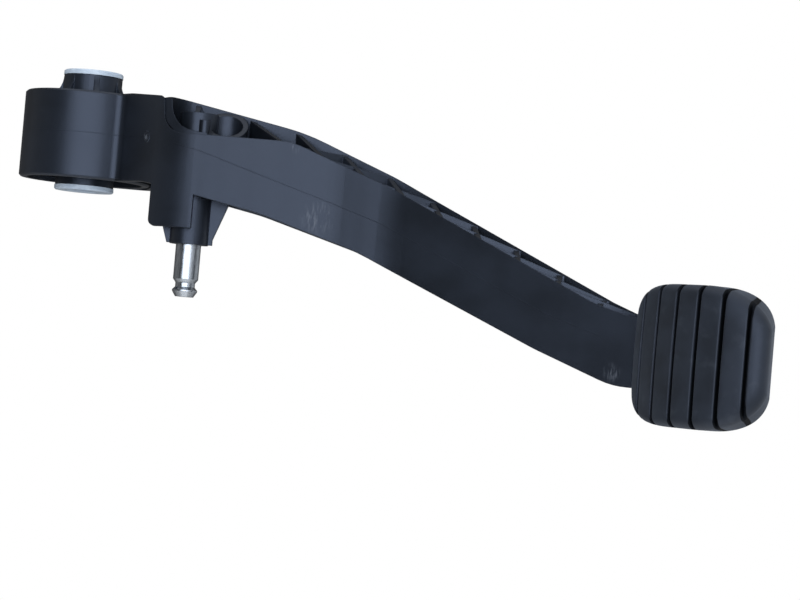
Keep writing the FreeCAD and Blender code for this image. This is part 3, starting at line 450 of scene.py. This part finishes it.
# The room that the CAD rubber leaves behind its tread, for the plate and its neck.
def hollowTool():
    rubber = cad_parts["pad_rubber"]
    solid = bpy.data.objects.new("solidCopy", rubber.data.copy())
    solid.matrix_world = rubber.matrix_world
    scene.collection.objects.link(solid)
    welded = bmesh.new()
    welded.from_mesh(solid.data)
    bmesh.ops.remove_doubles(welded, verts=welded.verts, dist=padShape["weld"] / 1000)
    welded.to_mesh(solid.data)
    welded.free()
    length, inset = padShape["length"], padShape["toolInset"]
    travels = [-padShape["toolReach"]] + list(np.linspace(inset, length - inset, padShape["toolRows"]))
    grids = []
    for depth in (padShape["toolDepth"], padShape["toolBack"]):
        rows = []
        for travel in travels:
            outer = max(0, travel - inset) * length / (length - 2 * inset)
            width = solidHalfWidth(outer, min(depth, padShape["thick"])) * (1 - 2 * inset / padShape["width"])
            rows.append([(width * share, depth) for share in padShape["toolColumns"]])
        grids.append(rows)
    points, faces = closedGrid(travels, *grids)
    mesh = bpy.data.meshes.new("hollowTool")
    mesh.from_pydata(points, [], faces)
    tool = bpy.data.objects.new("hollowTool", mesh)
    scene.collection.objects.link(tool)
    cutBy(tool, solid)
    return tool


padPoints, padFaces = buildPad()
pad = newPiece("padRubber", padPoints, padFaces, materials["pad_rubber"], padShape["smoothAngle"])
cutBy(pad, hollowTool())
pad.data.materials.clear()
pad.data.materials.append(materials["pad_rubber"])
pad.data.shade_smooth()
pad.data.set_sharp_from_angle(angle=math.radians(padShape["smoothAngle"]))
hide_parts("pad_rubber")
print("stage: pad rubber,", len(pad.data.polygons), "faces")


rayReach = 600  # well behind the pedal, on the driver's side


# Where a ray from the driver's side meets the arm, and the surface's direction there.
def onArm(side, drop):
    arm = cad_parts["pedal_arm"]
    inverse = arm.matrix_world.inverted()
    heading = (inverse.to_3x3() @ Vector((-1, 0, 0))).normalized()
    hit, place, normal = arm.ray_cast(inverse @ framePoint(rayReach, side, drop), heading)[:3]
    if not hit:
        return None
    return arm.matrix_world @ place, (arm.matrix_world.to_3x3() @ normal).normalized()


# Parting line of the mould: a low ridge down the driver's side, through these drops and sides.
seam = {"line": [(-30, -2.5), (20, -2.5), (34, -4.0), (56, -8.7), (118, -28), (137, -34.3),
                 (206, -66.6), (246, -80.1)],
        "hubRadius": 29.6, "hubTurns": (2, 90, 3), "lowest": 232, "step": 1.5, "jump": 4.0,
        "half": 0.32, "rise": 0.11, "sink": 0.05, "smoothAngle": 60}


# It starts on top of the hub, ends at the lowest drop, and stops where the wall jumps.
def partingLine():
    drops = [-seam["hubRadius"] * math.cos(math.radians(turn)) for turn in range(*seam["hubTurns"])]
    drops += [seam["step"] * number for number in range(int(seam["lowest"] / seam["step"]))]
    sides = np.interp(drops, *zip(*seam["line"]))
    found = [onArm(side, drop) for side, drop in zip(sides, drops)]
    found = [spot for spot in found if spot]
    steps = [after[0] - here[0] for here, after in zip(found, found[1:])]
    points = []
    for (place, normal), along in zip(found, steps + steps[-1:]):
        across = normal.cross(along).normalized() * seam["half"] / 1000
        foot = place - normal * seam["sink"] / 1000
        points += [foot + across, place + normal * seam["rise"] / 1000, foot - across]
    faces = []
    for number, along in enumerate(steps):
        if along.length < seam["jump"] / 1000:
            n = 3 * number
            faces += [(n, n + 1, n + 4, n + 3), (n + 1, n + 2, n + 5, n + 4)]
    newPiece("partingLineRear", points, faces, materials["pedal_arm"], seam["smoothAngle"])


partingLine()
print("stage: parting line")

# Gate mark: the broken stub where the mould was filled, a rough ring round a torn core. A ring is a
# radius and a height, and a ring that stands proud is uneven.
gate = {"side": -3.4, "drop": 31.2, "spokes": 14,
        "rings": [(0.95, 0.3), (1.6, 0.06), (2.35, 0.3), (2.9, -0.2)],
        "core": 0.6, "rough": 0.2, "wobble": 0.4, "waveRound": 5.3, "waveOut": 2.1, "smoothAngle": 20}


def gateMark():
    place, normal = onArm(gate["side"], gate["drop"])
    across = normal.cross(Vector((0, 1, 0))).normalized()
    upward = across.cross(normal)
    spokes = gate["spokes"]
    points, faces = [place + normal * gate["core"] / 1000], []
    for ring, (radius, lift) in enumerate(gate["rings"]):
        for number in range(spokes):
            turn = 2 * math.pi * number / spokes
            rough = 0
            if lift > 0:
                rough = gate["rough"] * math.sin(gate["waveRound"] * number + gate["waveOut"] * ring)
            spoke = (across * math.cos(turn) + upward * math.sin(turn)) * (radius + gate["wobble"] * rough)
            points.append(place + (spoke + normal * (lift + rough)) / 1000)
            one, two = 1 + number, 1 + (number + 1) % spokes
            here, inside = ring * spokes, (ring - 1) * spokes
            if ring == 0:
                faces.append((0, one, two))
            else:
                faces.append((inside + one, here + one, here + two, inside + two))
    newPiece("gateMark", points, faces, materials["pedal_arm"], gate["smoothAngle"])


gateMark()
print("stage: gate mark")

# A ledge inside the notch at the top of the rear wall, through pairs of outer and inner spots, each
# a drop and a side.
ledge = {"spots": [((38.1, 13.6), (41.9, 13.3)), ((38.5, 9.7), (42.3, 9.9)), ((39.2, 6.3), (43.0, 7.1)),
                   ((40.9, 2.5), (44.6, 4.3)), ((44.1, -0.7), (47.0, 1.7)), ((47.9, -2.1), (50.0, 0.3)),
                   ((53.0, -2.3), (54.1, -0.5)), ((58.3, -2.3), (58.7, -0.9))],
         "wallSide": -7.0, "recess": 0.35, "thick": 1.6, "smoothAngle": 50}


def notchLedge():
    points, faces = [], []
    for (outerDrop, outerSide), (innerDrop, innerSide) in ledge["spots"]:
        outerReach, innerReach = [onArm(ledge["wallSide"], drop)[0].x * 1000 - ledge["recess"]
                                  for drop in (outerDrop, innerDrop)]
        points += [framePoint(outerReach, outerSide, outerDrop), framePoint(innerReach, innerSide, innerDrop),
                   framePoint(innerReach - ledge["thick"], innerSide, innerDrop)]
    for number in range(len(ledge["spots"]) - 1):
        for corner in (3 * number, 3 * number + 1):
            faces.append((corner, corner + 3, corner + 4, corner + 1))
    newPiece("notchLedge", points, faces, materials["pedal_arm"], ledge["smoothAngle"])


notchLedge()
print("stage: notch ledge")

# A pale matt floor far below, which keeps its shadow and fades out to the white around it.
floorLook = {"name": "mattStudioFloor", "place": (0.16, -0.05, -0.66), "radius": 1.08, "corners": 96,
             "dark": "#e9eaec", "light": "#eeeff0", "cloudMm": 300, "cloudDetail": 3,
             "roughness": 0.8, "specular": 0.1, "glow": 0.42, "fade": (0.55, 1.05)}


def floorFinish():
    material = bpy.data.materials.new(floorLook["name"])
    material.use_nodes = True
    tree = material.node_tree
    tree.nodes.clear()
    place = addNode(tree, "ShaderNodeTexCoord").outputs["Object"]
    cloud = addNode(tree, "ShaderNodeTexNoise",
                    {"Scale": 1000 / floorLook["cloudMm"], "Detail": floorLook["cloudDetail"]},
                    {"Vector": place})
    colour = addNode(tree, "ShaderNodeMix",
                     {"data_type": "RGBA", 6: toLinear(floorLook["dark"]), 7: toLinear(floorLook["light"])},
                     {0: cloud}).outputs[2]
    rays = addNode(tree, "ShaderNodeLightPath")
    glow = addNode(tree, "ShaderNodeMath", {"operation": "MULTIPLY", 1: floorLook["glow"]},
                   {0: rays.outputs["Is Camera Ray"]})
    away = addNode(tree, "ShaderNodeVectorMath", {"operation": "LENGTH"}, {0: place})
    near, far = floorLook["fade"]
    shown = addNode(tree, "ShaderNodeMapRange",
                    {"interpolation_type": "SMOOTHSTEP", "From Min": near, "From Max": far,
                     "To Min": 1.0, "To Max": 0.0}, {"Value": away.outputs["Value"]})
    shader = addNode(tree, "ShaderNodeBsdfPrincipled",
                     {"Roughness": floorLook["roughness"], "Specular IOR Level": floorLook["specular"],
                      "Emission Color": (1, 1, 1, 1)},
                     {"Base Color": colour, "Emission Strength": glow, "Alpha": shown})
    addNode(tree, "ShaderNodeOutputMaterial", {}, {"Surface": shader})
    return material


bpy.ops.mesh.primitive_circle_add(vertices=floorLook["corners"], radius=floorLook["radius"],
                                  fill_type="NGON", location=floorLook["place"])
floor = bpy.context.object
floor.name = "floor"
floor.data.materials.append(floorFinish())

# White to the camera. Reflections see it dim, darkest behind the camera and brighter far down, and
# it lights the pedal only faintly.
worldLook = {"cameraSide": 0.03, "farSide": 0.12, "turn": (-0.5, 0.35), "below": 0.7,
             "belowFade": (-0.85, -0.3), "ambient": 0.35}


def buildWorld():
    world = scene.world or bpy.data.worlds.new("studio")
    scene.world = world
    world.use_nodes = True
    tree = world.node_tree
    tree.nodes.clear()
    rays = addNode(tree, "ShaderNodeLightPath")
    camera, glossy = rays.outputs["Is Camera Ray"], rays.outputs["Is Glossy Ray"]
    heading = addNode(tree, "ShaderNodeSeparateXYZ", {},
                      {0: addNode(tree, "ShaderNodeTexCoord").outputs["Generated"]})
    seen = addNode(tree, "ShaderNodeMath", {"operation": "MAXIMUM"},
                   {0: camera, 1: rays.outputs["Is Transmission Ray"]})
    low, high = worldLook["turn"]
    around = addNode(tree, "ShaderNodeMapRange",
                     {"interpolation_type": "SMOOTHSTEP", "From Min": low, "From Max": high,
                      "To Min": worldLook["farSide"], "To Max": worldLook["cameraSide"]},
                     {"Value": heading.outputs["X"]})
    low, high = worldLook["belowFade"]
    below = addNode(tree, "ShaderNodeMapRange",
                    {"interpolation_type": "SMOOTHSTEP", "From Min": low, "From Max": high,
                     "To Min": worldLook["below"], "To Max": 0.0}, {"Value": heading.outputs["Y"]})
    brighter = addNode(tree, "ShaderNodeMath", {"operation": "MAXIMUM"}, {0: around, 1: below})
    mirrored = addNode(tree, "ShaderNodeMath", {"operation": "MULTIPLY_ADD"},
                       {0: glossy, 1: brighter, 2: seen})
    handled = addNode(tree, "ShaderNodeMath", {"operation": "MAXIMUM"}, {0: seen, 1: glossy})
    others = addNode(tree, "ShaderNodeMath", {"operation": "SUBTRACT", 0: 1.0}, {1: handled})
    strength = addNode(tree, "ShaderNodeMath", {"operation": "MULTIPLY_ADD", 1: worldLook["ambient"]},
                       {0: others, 2: mirrored})
    sky = addNode(tree, "ShaderNodeBackground", {"Color": (1, 1, 1, 1)}, {"Strength": strength})
    addNode(tree, "ShaderNodeOutputWorld", {}, {"Surface": sky})


buildWorld()

# Soft lamps that face the pedal's middle. "turn" is how far one stands up from straight behind the
# camera (+X) and how far to the side (+Y), and "size" its width and height.
middle = (0.06, -0.04, -0.13)
lamps = {"keyBox": {"turn": (4, 5), "away": 1.5, "size": (1.6, 0.85), "radiance": 4.4, "colour": "#f0f5ff"},
         "lowBox": {"turn": (-50, 3), "away": 1.1, "size": (1.3, 1.0), "radiance": 2.0, "colour": "#f0f5ff"},
         "sideBox": {"turn": (0, 76), "away": 1.3, "size": (2.2, 2.2), "radiance": 1.1, "colour": "#f6f9ff"},
         "topBox": {"turn": (88, 0), "away": 1.5, "size": (1.6, 1.6), "radiance": 0.2, "colour": "#ffffff"},
         "fillBox": {"turn": (5, -68), "away": 1.3, "size": (1.2, 1.2), "radiance": 0.8, "colour": "#f6f9ff"}}


def addLamp(name, look):
    up, side = [math.radians(turn) for turn in look["turn"]]
    lamp = bpy.data.lights.new(name, "AREA")
    lamp.shape = "RECTANGLE"
    lamp.size, lamp.size_y = look["size"]
    lamp.energy = look["radiance"] * math.pi * lamp.size * lamp.size_y
    lamp.color = toLinear(look["colour"])[:3]
    holder = bpy.data.objects.new(name, lamp)
    scene.collection.objects.link(holder)
    back = Vector((math.cos(up) * math.cos(side), math.sin(side), math.sin(up) * math.cos(side))).normalized()
    right = Vector((0, 1, 0)).cross(back).normalized()
    holder.matrix_world = Matrix.Translation(Vector(middle) + back * look["away"]) @ Matrix(
        (right, back.cross(right), back)).transposed().to_4x4()
    holder.visible_camera = False


for name, look in lamps.items():
    addLamp(name, look)
print("stage: floor, world and lamps")

# The photograph's view: the camera's place, what is right and up in the picture, and its lens.
view = {"eye": (1.088799, -0.0906475, -0.149722), "right": (0.0, 0.08539143, -0.99634748),
        "up": (0.0245217, 0.99604788, 0.08536575), "lens": 108.0, "film": 36.0, "clip": 0.05}
camera = bpy.data.cameras.new("photoCamera")
camera.lens = view["lens"]
camera.sensor_width = view["film"]
camera.clip_start = view["clip"]
cameraHolder = bpy.data.objects.new("photoCamera", camera)
scene.collection.objects.link(cameraHolder)
right, up = Vector(view["right"]).normalized(), Vector(view["up"]).normalized()
cameraHolder.matrix_world = Matrix.Translation(Vector(view["eye"])) @ Matrix(
    (right, up, right.cross(up).normalized())).transposed().to_4x4()
scene.camera = cameraHolder
scene.view_settings.view_transform = "Standard"

print("stage: camera")
